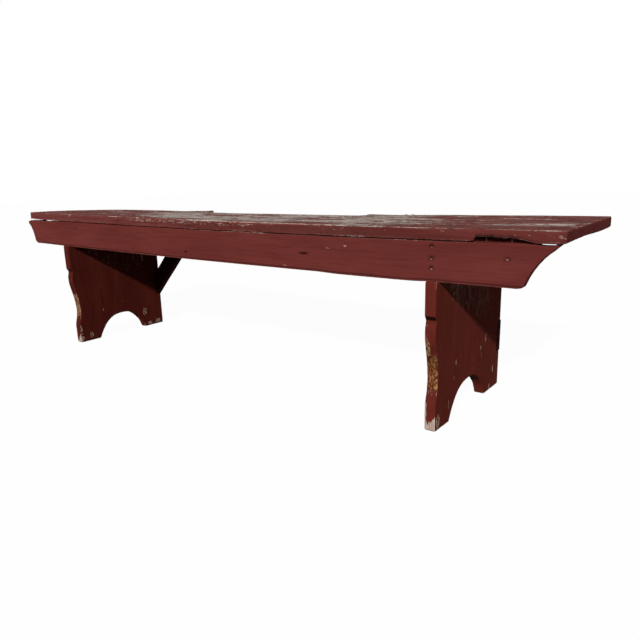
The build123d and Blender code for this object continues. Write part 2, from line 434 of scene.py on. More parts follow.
# %% The colours of the paint and the wood, and a finish for each board
# each paint or wood has two main tones and the tone of its streaks or flecks
BARN_RED = (rgb(101, 43, 39), rgb(112, 51, 47), rgb(87, 35, 31))
APRON_RED = (rgb(104, 46, 42), rgb(115, 54, 49), rgb(90, 37, 33))
LEG_RED = (rgb(100, 40, 32), rgb(113, 48, 38), rgb(84, 30, 24))
DARK_RED = (rgb(84, 30, 24), rgb(96, 38, 30), rgb(70, 24, 18))
SHADED_RED = (rgb(70, 24, 19), rgb(82, 31, 25), rgb(56, 18, 14))
GREY_TOP = (rgb(172, 152, 142), rgb(212, 196, 185), rgb(228, 217, 208))
GREY_FOOT = (rgb(136, 110, 90), rgb(170, 146, 124), rgb(194, 174, 156))
GOLD = (rgb(134, 88, 48), rgb(186, 144, 100), rgb(84, 32, 16))
ALONG_X, ALONG_Z = (0, 0, 0), (0, pi / 2, 0)
brace_tilt = radians(46)    # near enough for the grain; the brace's own slope is measured later

seat_finish = board_finish("seat_plank", ALONG_X, BARN_RED, GREY_TOP, GOLD, 0.0, 0.735)
apron_finish = board_finish("apron_red", ALONG_X, APRON_RED, GREY_TOP, GOLD, 3.1, 0.80)
left_leg_finish = board_finish("leg_red_left", ALONG_Z, DARK_RED, GREY_FOOT, GOLD, 5.3, 0.765)
right_leg_finish = board_finish("leg_red_right", ALONG_Z, LEG_RED, GREY_FOOT, GOLD, 7.9, 0.765)

# %% [markdown]
# ## How the bench sags
# A plank this long sinks a little under its own weight and a century of sitters, and it
# has taken the apron down with it. One formula gives the drop for both, so the narrow
# joint between them keeps its width. The two ends stay where the model has them.

# %% The sag
seat_low, seat_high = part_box("seat_board")
apron_low, apron_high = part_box("front_apron")
sag_depth, sag_middle, sag_reach = 0.0056, 0.038, 0.90


def sag(x):
    """How far the seat and apron have sunk at each place along the bench."""
    return sag_depth * np.clip(1 - ((x - sag_middle) / sag_reach) ** 2, 0, 1)


print("sag at five places:", sag(np.linspace(-0.9, 0.9, 5)).round(4))

# %% [markdown]
# ## The nails' places
# Nails rust and stain the wood round them, so the boards need to know where the heads
# are. Each CAD nail is a loose island of its node's mesh; its head is the end that lies
# in the board's face. We read the islands' middles here and use them twice: for the
# stains, and later for the nails themselves.


# %% Find each nail's head
def islands(node):
    """The corner points of each separate solid in a CAD node."""
    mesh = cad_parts[node].data
    places = np.array([v.co[:] for v in mesh.vertices]).round(6)
    unique, owner = np.unique(places, axis=0, return_inverse=True)
    owner = owner.ravel()
    group = np.arange(len(unique))
    changed = True
    while changed:
        changed = False
        for face in mesh.polygons:
            members = owner[list(face.vertices)]
            lowest = group[members].min()
            if (group[members] != lowest).any():
                group[members] = lowest
                changed = True
    return [unique[group == g] for g in np.unique(group)]


def heads(node, axis, side):
    """The middle of each nail's head: side is 1 or -1, the way that the head faces."""
    found = []
    for island in islands(node):
        outer = (island[:, axis] * side).max()
        top = island[np.abs(island[:, axis] * side - outer) < 1e-5]
        found.append(top.mean(axis=0))
    return sorted((tuple(p) for p in found), key=lambda p: (round(p[0], 4), -p[2], p[1]))


NAIL_GROUPS = {
    "apron_nails_left": (1, -1), "apron_nails_right": (1, -1), "apron_stray_nail": (1, -1),
    "seat_nails_left": (2, 1), "seat_nails_right": (2, 1), "seat_nails_front": (2, 1),
    "brace_head_nails_left": (2, 1), "brace_head_nails_right": (2, 1),
    "brace_foot_nails_left": (1, 1), "brace_foot_nails_right": (1, 1),
}
nail_heads = {node: heads(node, *facing) for node, facing in NAIL_GROUPS.items()}
print({node: len(places) for node, places in nail_heads.items()})


def nail_stain(points, reach=0.010):
    """Dark rust and dirt round every nail head."""
    stain = np.zeros(len(points))
    for node, (axis, _) in NAIL_GROUPS.items():
        weights = np.where(np.arange(3) == axis, 0.4, 1.0)
        for place in nail_heads[node]:
            away = np.linalg.norm((points - place) * weights, axis=1)
            stain = np.maximum(stain, 1 - ease(away, 0.25 * reach, reach))
    return stain


def spot(points, middle, reach, seed):
    """A ragged spot: 1 at its middle and 0 outside its reach along X, Y and Z."""
    away = np.linalg.norm((points - np.array(middle)) / np.array(reach), axis=1)
    away += 0.5 * (ripples(points, (0.012, 0.012, 0.006), seed) - 0.5)
    return 1 - ease(away, 0.6, 1.0)


# %% [markdown]
# ## The seat
# The seat is one wide plank. Its top has weathered nearly bare in the middle, where
# people sit, and has kept more of its chalky paint at both ends. The back half has worn
# lower than the front, part of the back arris has split away and left two lifted
# splinters, and a long chip has gone from the lower front arris near the right end,
# where it laid two of the nails bare. All of these are moves of the grid's points.

# %% Places of the seat's damage, in metres along the bench
seat_size = np.array(seat_high - seat_low)
wear_places = (-0.90, -0.59, 0.26, 0.51, 0.79)      # how far the back arris has worn down
wear_depths = (0.0140, 0.0100, 0.0046, 0.0012, 0.0)
split_start, split_end, split_depth = -0.364, 0.280, 0.022
chip_start, chip_end, chip_height, chip_depth = 0.743, 0.868, 0.0090, 0.0145
crack_width, crack_depth = 0.0034, 0.0034
splinters = ((-0.51, split_start, 0.0040), (0.37, split_end, 0.0016))   # thin end, blunt end, lift

# the lower arris of the right end is worn in shallow scallops: Y, and how far it is worn up
SCALLOP = (
    (-0.186, -0.128, -0.052, 0.034, 0.080, 0.128, 0.168, 0.190),
    (0.0014, 0.0024, 0.0030, 0.0010, 0.0000, 0.0000, 0.0004, 0.0020),
)
# the long drying cracks in the top: Y, then where each starts and ends
CRACKS = (
    (0.118, -0.890, -0.35), (0.040, -0.29, 0.35), (-0.052, 0.43, 0.916), (0.140, 0.53, 0.913),
    (-0.128, -0.19, 0.19), (-0.020, -0.896, -0.61), (0.082, 0.06, 0.53),
)
# pale spots on the front face: X, depth below the top, reach each way, strength
SEAT_SPOTS = (
    (-0.655, 0.007, (0.012, 0.012, 0.009), 0.66),
    (0.680, 0.008, (0.024, 0.006, 0.0050), 0.42),
    (0.906, 0.013, (0.009, 0.012, 0.018), 0.27),
)
print("the seat is", seat_size.round(4), "m, with", len(CRACKS), "cracks")


# %% Grain and cracks
def raised_grain(points, seed, amount):
    """Hard rings that stand up and soft ones worn hollow, wandering with the grain."""
    wander = 0.010 * ripples(points, (0.45, 0.30, 0.30), seed + 40)
    shifted = points + np.stack([0 * wander, wander, wander], axis=1)
    broad = ripple(shifted, (0.70, 0.0080, 0.0080), seed)
    fine = ripple(shifted, (0.30, 0.0042, 0.0042), seed + 3)
    return amount * (0.6 * broad + 0.4 * fine)


def uneven_face(points, seed, grain, hollows):
    """How far a sawn face lies in at each point: raised grain over shallow hollows."""
    shallow = hollows * ripples(points, (0.2, 0.05, 0.05), seed + 2)
    return raised_grain(points, seed + 1, grain) + shallow


def crack(points, across, start, end, seed):
    """The depth of one long drying crack, which wanders a little and tapers out."""
    x, y = points[:, 0], points[:, 1]
    line = across + 0.006 * (ripples(points * (1, 0, 0), (0.14, 1, 1), seed) - 0.5)
    taper = span(x, start, start + 0.06, end - 0.09, end)
    return crack_depth * taper * (1 - ease(np.abs(y - line), 0.2 * crack_width, crack_width))


def back_wear(points):
    """How much the top has worn down, more towards the back and towards the left."""
    share = np.clip((points[:, 1] - seat_low.y) / seat_size[1], 0, 1)
    return np.interp(points[:, 0], wear_places, wear_depths) * share**1.6


def along_noise(points, length, seed):
    """Noise that changes along the bench only."""
    return ripples(points * (1, 0, 0), (length, 1, 1), seed)


def upper_share(points):
    """How high a point of the seat lies in the plank, from 0 to 1."""
    return np.clip((points[:, 2] + sag(points[:, 0]) - seat_low.z) / seat_size[2], 0, 1)


middle_back = np.array([[0.0, seat_high.y, seat_high.z]])
print("the back arris is worn midway by", back_wear(middle_back).round(4), "m")


# %% Shape the seat
def split_back(points, upper):
    """Sets the back arris in where it has split away; gives how torn each point is."""
    x, y = points[:, 0], points[:, 1]
    torn = span(x, split_start, split_start + 0.006, split_end - 0.008, split_end)
    torn *= 0.75 + 0.5 * along_noise(points, 0.045, 21)
    near_back = ease(y, seat_high.y - 0.075, seat_high.y)
    points[:, 1] -= split_depth * torn * (0.45 + 0.55 * upper) * near_back
    points[:, 2] -= 0.0035 * torn * upper * ease(y, seat_high.y - 0.050, seat_high.y - 0.010)
    return torn * ease(y, seat_high.y - 0.045, seat_high.y - 0.020)


def lift_splinters(points, upper):
    """Raises the two splinters along the back arris; gives how dark their sides are."""
    dark = np.zeros(len(points))
    for thin, blunt, lift in splinters:
        share = np.clip((points[:, 0] - thin) / (blunt - thin), 0, 1)
        rise = share * (share < 1)
        strip = ease(points[:, 1], seat_high.y - 0.020, seat_high.y - 0.0165)
        points[:, 2] += lift * rise * strip * upper
        side = ease(points[:, 1], seat_high.y - 0.022, seat_high.y - 0.018)
        dark = np.maximum(dark, ease(rise, 0.15, 0.5) * side * upper)
    return dark


def chip_front(points, upper):
    """Opens the lower front arris near the right end; gives how deep in the chip a point is."""
    x, y = points[:, 0], points[:, 1]
    deep = span(x, chip_start, chip_start + 0.007, chip_end - 0.05, chip_end)
    deep *= 0.72 + 0.56 * along_noise(points, 0.013, 22)
    under = 1 - ease(y, seat_low.y + 0.70 * chip_depth, seat_low.y + chip_depth)
    corner = 0.0014 * (1 - ease(x, seat_low.x, seat_low.x + 0.06))
    scallop = np.interp(y, *SCALLOP) * ease(x, seat_high.x - 0.012, seat_high.x - 0.002)
    points[:, 2] += (chip_height * deep * under + corner + scallop) * (1 - upper)
    return deep * under * (1 - ease(upper, 0.0, 0.5))


def shape_seat():
    """The plank's points and faces, with all its damage, and its surface values."""
    blunt_ends = [
        blunt + shift - seat_low.x for _, blunt, _ in splinters for shift in (-0.001, 0.001)
    ]
    chip_lines = [chip_start + shift - seat_low.x for shift in (0.002, 0.005, 0.008)]
    points, faces = block(
        lines(seat_size[0], 0.0088, extra=blunt_ends + chip_lines),
        lines(seat_size[1], 0.00195), lines(seat_size[2], 0.0042),
    )
    edge = arris_distance(points, seat_size)
    upper, front = points[:, 2] / seat_size[2], 1 - points[:, 1] / seat_size[1]
    right_end = ease(points[:, 0], seat_size[0] - 0.012, seat_size[0])
    sound = ease(points[:, 0], 0.62 * seat_size[0], 0.80 * seat_size[0]) * (1 - front)
    radius = 0.0010 + 0.0030 * ripples(points, (0.11, 0.4, 0.4), 11) ** 2
    radius += 0.0024 * upper * ripples(points, (0.035, 0.2, 0.2), 12) * (1 - 0.8 * sound)
    radius += 0.0014 * right_end * ripples(points, (0.2, 0.020, 0.2), 13) * upper
    points = rounded(points, seat_size, radius) + np.array(seat_low)
    torn = split_back(points, upper)
    chipped = chip_front(points, upper)
    points[:, 2] -= back_wear(points) * upper
    lifted = lift_splinters(points, upper)

    top_face = ease(upper, 0.80, 0.98)
    relief = raised_grain(points, 31, 0.0011) * top_face
    relief += 0.0016 * ripples(points, (0.35, 0.09, 0.5), 32) * top_face
    relief += 0.0005 * ripples(points, (0.05, 0.010, 0.010), 33)
    for number, (across, start, end) in enumerate(CRACKS):
        relief += crack(points, across, start, end, 60 + number) * top_face
    points = pressed(points, faces, relief)
    points[:, 2] -= sag(points[:, 0])
    return points, faces, seat_values(points, edge, top_face, front, chipped, torn, lifted)


def seat_values(points, edge, top_face, front, chipped, torn, lifted):
    """How bare, grey, faded, stained and whitened the seat is at each point."""
    x, z = points[:, 0], points[:, 2]
    middle = span(x, -0.612, -0.272, 0.428, 0.70)
    patches = ripples(points, (0.34, 0.10, 0.5), 41)
    front_strip = ease(front, 0.80, 0.97)
    # the wood is barest in the middle of the top, and in strips along the arrises
    top_wear = 0.365 + 0.350 * middle + 0.36 * (patches - 0.5)
    top_wear -= 0.30 * front_strip * (1 - 0.2 * middle)
    top_wear -= 0.04 * (1 - ease(x, -0.70, -0.50))
    top_wear += 0.24 * (1 - ease(front, 0.03, 0.10)) * ease(x, -0.342, -0.142)
    arris = (1 - ease(edge, 0.0, 0.006)) * ripples(points, (0.05, 0.03, 0.03), 42)
    right_end = ease(x, seat_high.x - 0.008, seat_high.x - 0.002)
    wear = top_wear * top_face + (0.06 + 0.62 * arris * (1 - 0.6 * right_end)) * (1 - top_face)
    wear = np.clip(wear + 0.30 * arris * top_face + 0.25 * torn, 0, 1)
    # dirt lies round the nails and in fine cracks; the inside of the chip and the front sides of the
    # splinters are darkened
    cracks = ripple(points, (0.5, 0.006, 0.006), 43)
    stain = nail_stain(points) + chipped + 0.9 * lifted + 0.25 * ease(cracks, 0.75, 0.95)
    stain += 0.16 * right_end * (1 - top_face)

    # whitish filler is left on the front arris and in runs on the front face
    front_arris = (1 - ease(edge, 0.0, 0.0050)) * ease(front, 0.9, 1.0) * (1 - 0.8 * right_end)
    worn_runs = np.maximum(ease(x, 0.028, 0.108), 1 - ease(x, -0.652, -0.552))
    pale = 0.46 * front_arris * worn_runs * (0.5 + ripples(points, (0.06, 1, 1), 44))
    on_front = ease(front, 0.994, 0.998) * (1 - top_face)
    band = 0.5 * ease(x, -0.75, -0.68) + 0.5 * ease(x, -0.36, -0.27)
    band *= 1 - 0.45 * ease(x, 0.148, 0.208) - 0.55 * ease(x, 0.42, 0.52)
    band *= ease(upper_share(points), 0.20, 0.60)
    mottled = ease(x, 0.668, 0.728) * (0.4 + 0.6 * ease(x, 0.848, 0.908))
    pale += on_front * (0.33 * band + 0.20 * mottled + 0.24 * ripples(points, (0.06, 1, 0.012), 45))
    pale += 0.30 * ease(front, 0.90, 0.995) * top_face * (0.4 + 0.6 * ease(x, -0.092, 0.308))
    for number, (spot_x, drop, reach, strength) in enumerate(SEAT_SPOTS):
        place = (spot_x, seat_low.y, seat_high.z - drop)
        pale = np.maximum(pale, strength * spot(points, place, reach, 50 + number))
    under = 1 - ease(z, seat_low.z + 0.001, seat_low.z + 0.003)
    chalky = 0.32 * on_front * (1 - 0.7 * ease(x, 0.35, 0.60))
    fade = np.clip(0.9 * top_face + chalky + 0.5 * front_arris * worn_runs, 0, 0.9)
    return {
        "wear": wear, "age": 0 * wear + 0.95, "fade": fade,
        "stain": np.clip(stain, 0, 1), "pale": np.clip(pale, 0, 1) * (1 - 0.8 * under),
    }


add_piece("seat_plank", *shape_seat(), "seat_board", seat_finish)

# %% [markdown]
# ## The apron
# The apron is a straight board too, but its ends are sawn to a hollow slope. So its grid
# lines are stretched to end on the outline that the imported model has, which we read as a
# loop of corners round the board's flat front face.


# %% Read a board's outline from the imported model
def outline(node, axis, side):
    """The longest loop round a CAD board's flat face, in order."""
    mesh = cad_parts[node].data
    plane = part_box(node)[side][axis]
    places = [tuple(round(c, 6) for c in v.co) for v in mesh.vertices]
    edges = set()
    for face in mesh.polygons:
        ring = [places[i] for i in face.vertices]
        if all(abs(place[axis] - plane) < 1e-5 for place in ring):
            for pair in zip(ring, ring[1:] + ring[:1]):
                if pair[::-1] in edges:
                    edges.remove(pair[::-1])
                else:
                    edges.add(pair)
    onward, loops = dict(edges), []
    while onward:
        start, here = onward.popitem()
        loop = [start]
        while here != start:
            loop.append(here)
            here = onward.pop(here)
        loops.append(np.array(loop))
    return max(loops, key=lambda loop: np.ptp(loop, axis=0).sum())


def end_line(loop, half):
    """One end of a board's outline, as heights and the X at each height."""
    side = loop[loop[:, 0] * half > 0]
    side = side[np.argsort(side[:, 2])]
    return side[:, 2], side[:, 0]


def lower_edge(loop):
    """The long straight lower edge of the apron: its height at each X."""
    steps = np.roll(loop, -1, axis=0) - loop
    longest = np.argsort(np.abs(steps[:, 0]))[-2:]
    start = min(longest, key=lambda i: loop[i, 2])
    ends = np.array([loop[start], loop[(start + 1) % len(loop)]])
    slope, height = np.polyfit(ends[:, 0], ends[:, 2], 1)
    return lambda x: height + slope * x


apron_loop = outline("front_apron", 1, 0)
apron_bottom = lower_edge(apron_loop)
print("apron outline:", len(apron_loop), "corners, lower edge at", apron_bottom(np.array([-0.9, 0.9])))


# %% Shape the apron
def top_line(x):
    """How far the apron's top arris stands below the model's: worn at the tips, tight midway."""
    noise = ripples(np.stack([x, 0 * x, 0 * x], axis=1), (0.030, 1, 1), 77)
    left_tip = 0.0020 * (1 - ease(x, apron_low.x, apron_low.x + 0.07))
    left_slits = 0.0024 * (1 - ease(x, -0.705, -0.665)) * ease(noise, 0.40, 0.55)
    right_slit = 0.0015 * span(x, 0.866, 0.874, 0.892, 0.902)
    tight = 0.0011 * span(x, -0.042, -0.012, 0.178, 0.218) * ease(noise, 0.35, 0.5)
    return left_tip + left_slits + right_slit - tight + 0.0004 * noise


def shape_apron():
    """The apron's points and faces on the model's outline, worn and sunk, and its values."""
    size = np.array(apron_high - apron_low)
    points, faces = block(
        lines(size[0], 0.0056), lines(size[1], 0.0040), lines(size[2], 0.0016)
    )
    edge = arris_distance(points, size)
    share, level = points[:, 0] / size[0], points[:, 2] / size[2]
    radius = 0.0009 + 0.0022 * ripples(points, (0.08, 0.3, 0.3), 71) ** 2
    radius += 0.0010 * (1 - ease(level, 0.1, 0.9))
    points = rounded(points, size, radius)
    moved = points[:, 0] / size[0] - share
    height = points[:, 2] + apron_low.z
    left = np.interp(level * size[2] + apron_low.z, *end_line(apron_loop, -1))
    right = np.interp(level * size[2] + apron_low.z, *end_line(apron_loop, 1))
    points[:, 0] = left + (right - left) * share + moved * size[0]
    points[:, 1] += apron_low.y
    taper = (apron_high.z - apron_bottom(points[:, 0])) / size[2]
    points[:, 2] = apron_high.z - (apron_high.z - height) * taper
    points[:, 2] -= top_line(points[:, 0]) * ease(level, 0.70, 0.95)
    swell = 0.0018 * span(points[:, 0], 0.35, 0.43, 0.60, 0.655)
    points[:, 2] -= swell * (1 - level)
    # the rear of the top stands up to the seat, except at the slits that light comes through
    closed = span(points[:, 0], -0.690, -0.670, 0.866, 0.872) + ease(points[:, 0], 0.894, 0.900)
    behind = ease(points[:, 1], apron_low.y + 0.005, apron_low.y + 0.009)
    points[:, 2] += 0.0015 * closed * behind * ease(level, 0.90, 0.99)
    points = pressed(points, faces, uneven_face(points, 72, 0.00028, 0.0006))
    points[:, 2] -= sag(points[:, 0])
    return points, faces, apron_values(points, edge, level)


# marks on the apron's face: middle X and Z, half length and half height, kind, strength
APRON_MARKS = (
    (0.325, 0.3780, 0.0180, 0.0040, "stain", 0.85),     # a gouge
    (0.263, 0.3445, 0.0120, 0.0035, "pale", 0.55),      # a scratch
    (0.403, 0.3940, 0.0460, 0.0034, "pale", 0.36),      # a long smudge
    (0.443, 0.4005, 0.0090, 0.0030, "pale", 0.54),      # a fleck
    (-0.092, 0.3580, 0.0060, 0.0035, "stain", 0.90),    # a small knot
    (0.528, 0.3700, 0.0050, 0.0025, "pale", 0.50),      # a second fleck
)


def apron_values(points, edge, level):
    """The apron's paint has lasted best; it is rubbed along its arrises and has a few marks, with
    painted highlight lines on its upper and lower arrises and painted shade just above the lower one.
    """
    x = points[:, 0]
    arris = (1 - ease(edge, 0.0, 0.0045)) * ripples(points, (0.045, 0.03, 0.03), 75)
    # painted highlight: thin pale lines along the upper and lower arrises, where the rounded arrises
    # catch the lamp; the upper line also stands for rubbed paint
    upper_arris = (1 - ease(edge, 0.0, 0.0030)) * ease(level, 0.9, 1.0)
    lower_arris = (1 - ease(edge, 0.0, 0.0026)) * (1 - ease(level, 0.0, 0.10))
    runs = span(x, -0.052, -0.022, 0.208, 0.248) + 0.7 * ease(x, 0.228, 0.268)
    runs *= 1 - 0.85 * ease(x, 0.725, 0.745)
    runs += 1 - ease(x, -0.772, -0.712)
    wear = 0.02 + 0.50 * arris + 0.10 * (ripples(points, (0.3, 0.05, 0.05), 76) - 0.5)
    uneven = 0.6 + 0.6 * ripples(points, (0.09, 1, 1), 78)
    pale = 0.62 * upper_arris * runs + 0.40 * lower_arris * uneven
    # painted shade: a dark line just above the lower arris
    shade_line_above_arris = span(level, 0.035, 0.050, 0.065, 0.085)
    rusty = 0.20 + 0.65 * ease(x, -0.60, -0.40)
    values = {"stain": rusty * nail_stain(points, 0.0075) + 0.58 * shade_line_above_arris, "pale": pale}
    on_face = 1 - ease(points[:, 1], apron_low.y + 0.003, apron_low.y + 0.006)
    for number, (mark_x, mark_z, half_x, half_z, kind, strength) in enumerate(APRON_MARKS):
        middle = (mark_x, apron_low.y, mark_z - sag(mark_x))
        mark = strength * spot(points, middle, (half_x, 1.0, half_z), 80 + number) * on_face
        values[kind] = np.maximum(values[kind], mark)
    values = {kind: np.clip(value, 0, 1) for kind, value in values.items()}
    # the chalky pink along those two arris lines is painted highlight as well
    fade = 0.9 * np.clip(upper_arris * runs + lower_arris * 1.4, 0, 1)
    return {"wear": np.clip(wear, 0, 1), "age": 0 * wear + 0.8, "fade": fade, **values}


add_piece("apron_board", *shape_apron(), "front_apron", apron_finish)

# %% [markdown]
# ## The legs
# A leg is a board on end, sawn to a fancy front edge and an arch, so a straight grid
# doesn't fit it. Here we join the outlines of its two faces into a plain solid, let a
# voxel remesh cover that with small even faces, and then wear it: a point on a corner
# lies outside the average of its neighbours, so moving points towards that average
# rounds the arrises and leaves the flat faces alone.


# %% A leg's solid, remeshed
def leg_solid(node):
    """Two outlines of a leg, started at the same corner and joined by quads."""
    rings = []
    for side in (0, 1):
        ring = outline(node, 0, side)
        ring = ring[::-1] if side else ring
        first = np.argmin(ring[:, 2] * 10 + ring[:, 1])     # the foremost of the lowest corners
        rings.append(np.roll(ring, -first, axis=0))
    count = len(rings[0])
    print(f"{node}: outlines of {count} and {len(rings[1])} corners")
    mesh = bpy.data.meshes.new(node + "_solid")
    low, high = list(range(count)), list(range(count, 2 * count))
    quads = [(i, (i + 1) % count, (i + 1) % count + count, i + count) for i in range(count)]
    mesh.from_pydata(np.concatenate(rings).tolist(), [], [low[::-1], high] + quads)
    return mesh


def remeshed(mesh, voxel):
    """Points and quads of a mesh after a voxel remesh."""
    holder = add_object("remesh", mesh)
    modifier = holder.modifiers.new("voxels", "REMESH")
    modifier.mode, modifier.voxel_size = "VOXEL", voxel
    evaluated = holder.evaluated_get(bpy.context.evaluated_depsgraph_get())
    result = bpy.data.meshes.new_from_object(evaluated)
    points = np.array([v.co[:] for v in result.vertices])
    faces = np.array([face.vertices[:] for face in result.polygons])
    bpy.data.objects.remove(holder)
    return points, faces


def averaged(points, faces, rounds):
    """The points after that many rounds of moving to the average of their neighbours."""
    pairs = np.concatenate([faces[:, [i, (i + 1) % 4]] for i in range(4)])
    count = np.bincount(pairs[:, 0], minlength=len(points))[:, None]
    moved = points
    for _ in range(rounds):
        moved = np.stack([
            np.bincount(pairs[:, 0], moved[pairs[:, 1], axis], len(points)) for axis in range(3)
        ], axis=1) / count
    return moved


print("corners round the left leg:", len(outline("left_leg", 0, 0)))


# %% Shape a leg
leg_voxel, wide_rounds, close_rounds = 0.0021, 14, 3


def front_share(points, low):
    """1 along a leg's sawn front edge and 0 behind it."""
    return ease(low.y + 0.06 - points[:, 1], 0, 0.02)


def shape_leg(node, seed):
    """A leg's points and faces, softened, let in under the apron, and its surface values."""
    low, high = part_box(node)
    points, faces = remeshed(leg_solid(node), leg_voxel)
    normals = normals_of(points, faces)
    outward = ((points - averaged(points, faces, wide_rounds)) * normals).sum(axis=1)
    corner = ease(outward, 0.0004, 0.0030)
    soften = 0.35 + 0.65 * ripples(points, (0.04, 0.04, 0.05), seed)
    soften = soften * (0.45 + 0.55 * front_share(points, low))
    housing = apron_bottom(np.array([(low.x + high.x) / 2]))[0]
    points = points + (averaged(points, faces, close_rounds) - points) * (soften * corner)[:, None]
    # the housing sinks with the apron, and its front lip comes up before the apron's face
    before_back = 1 - ease(points[:, 1], apron_high.y, apron_high.y + 0.006)
    points[:, 2] -= sag(points[:, 0]) * before_back * ease(points[:, 2], housing - 0.03, housing)
    lip = 1 - ease(points[:, 1], apron_low.y - 0.0035, apron_low.y - 0.0010)
    points[:, 2] += 0.0030 * lip * ease(points[:, 2], housing - 0.012, housing - 0.004)
    upright = points[:, [2, 1, 0]]
    points = pressed(points, faces, uneven_face(upright, seed, 0.00036, 0.0004))
    return points, faces, leg_values(points, normals, corner, node, seed)


# %% Wear on a leg
# small chips and bare flecks on the legs' right-hand faces: Y and Z, half width and half height
LEG_CHIPS = {
    "left_leg": (
        (-0.089, 0.100, 0.003, 0.010), (-0.182, 0.044, 0.005, 0.024), (-0.146, 0.021, 0.012, 0.016),
        (0.087, 0.056, 0.012, 0.026), (0.105, 0.011, 0.016, 0.010), (-0.182, 0.014, 0.012, 0.014),
        (0.144, 0.012, 0.016, 0.012), (0.095, 0.270, 0.006, 0.030),
    ),
    "right_leg": (
        (0.094, 0.151, 0.0090, 0.018), (0.064, 0.129, 0.0070, 0.012), (0.151, 0.053, 0.0048, 0.014),
        (-0.082, 0.133, 0.0070, 0.010), (-0.172, 0.022, 0.015, 0.026), (-0.118, 0.045, 0.003, 0.016),
        (0.131, 0.010, 0.009, 0.012), (-0.092, 0.098, 0.0022, 0.012), (0.071, 0.110, 0.005, 0.009),
    ),
}
# how much each leg is washed pale above, how fresh its rubbed wood is, how pale its foot is
LEG_SHARES = {"left_leg": (0.75, 0.45, 0.42), "right_leg": (1.0, 0.75, 0.30)}


def rubbed_front(points, node):
    """Where boots have rubbed a leg's front edge down to the wood."""
    x, z = points[:, 0], points[:, 2]
    if node == "left_leg":
        return span(z, 0.080, 0.100, 0.160, 0.190)
    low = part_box(node)[0]
    left_half = 1 - 0.8 * ease(z, 0.165, 0.190) * ease(x, low.x + 0.008, low.x + 0.016)
    return span(z, 0.070, 0.105, 0.195, 0.235) * left_half


def leg_values(points, normals, corner, node, seed):
    """Where a leg is rubbed, how grey its bare wood is, where it is dirty or whitened, and the painted
    shade under its arch.
    """
    low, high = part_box(node)
    x, y, z = points.T
    wash_share, fresh_share, foot_share = LEG_SHARES[node]
    near_front = front_share(points, low)
    facing_front = ease(-normals[:, 1], 0.3, 0.8) * near_front
    below_notch = span(z, 0.195, 0.215, 0.246, 0.252)
    rubbed = rubbed_front(points, node) * facing_front
    patches = ripples(points, (0.02, 0.03, 0.045), seed + 5)
    foot = 1 - ease(z, 0.0, 0.030 + 0.03 * patches)
    washed = ease(z + 0.63 * y, 0.17, 0.24) * ease(normals[:, 0], 0.5, 0.9)
    washed *= ease(z, 0.14, 0.24) * wash_share
    wear = 0.03 + 0.70 * rubbed * (0.37 + patches + 0.18 * (1 - ease(z, 0.12, 0.18)))
    wear += 0.16 * foot * patches
    wear += 0.50 * washed * (0.6 + 0.6 * patches) * (1 - 0.45 * ease(y, 0.08, 0.15))
    wear += 0.50 * corner * ripples(points, (0.03, 0.03, 0.05), seed + 6)
    age = np.clip(0.80 - fresh_share * rubbed + 0.3 * foot, 0, 1)

    left_arris = facing_front * (1 - ease(x, low.x + 0.0030, low.x + 0.0068))
    pale = 0.72 * left_arris * (1 - ease(z, 0.055, 0.085)) + 0.45 * corner * foot
    pale += foot_share * foot * patches
    pale += 0.10 * ease(normals[:, 2], 0.6, 0.9) * near_front * ease(z, 0.30, 0.32)
    toe = 0.004 + 0.020 * ease(x, low.x + 0.006, high.x) + 0.016 * (patches - 0.5)
    pale += facing_front * (0.58 * (1 - ease(z, toe, toe + 0.024)) + 0.30 * below_notch)
    for number, (chip_y, chip_z, half_y, half_z) in enumerate(LEG_CHIPS[node]):
        chip = spot(points, (high.x, chip_y, chip_z), (0.004, half_y, half_z), seed + 60 + number)
        pale = np.maximum(pale, 0.56 * chip)
    # painted shade: the downward-facing underside of the arch is darkened; rust darkens round the
    # nails
    soffit_shade = ease(-normals[:, 2], 0.10, 0.50)
    stain = 0.5 * nail_stain(points, 0.006) + 0.95 * soffit_shade * ease(z, 0.035, 0.060)
    return {
        "wear": np.clip(wear, 0, 1), "age": age, "fade": 0 * wear,
        "stain": np.clip(stain, 0, 1), "pale": np.clip(pale, 0, 1),
    }


add_piece("leg_board_left", *shape_leg("left_leg", 101), "left_leg", left_leg_finish)
add_piece("leg_board_right", *shape_leg("right_leg", 131), "right_leg", right_leg_finish)

# %% [markdown]
# ## The braces
# Each brace slants from the back edge of a leg up to the seat, so its grain slants too.
# Its grid is made along the slant and its ends are then moved to the two sawn lines:
# upright at the leg, level under the seat.


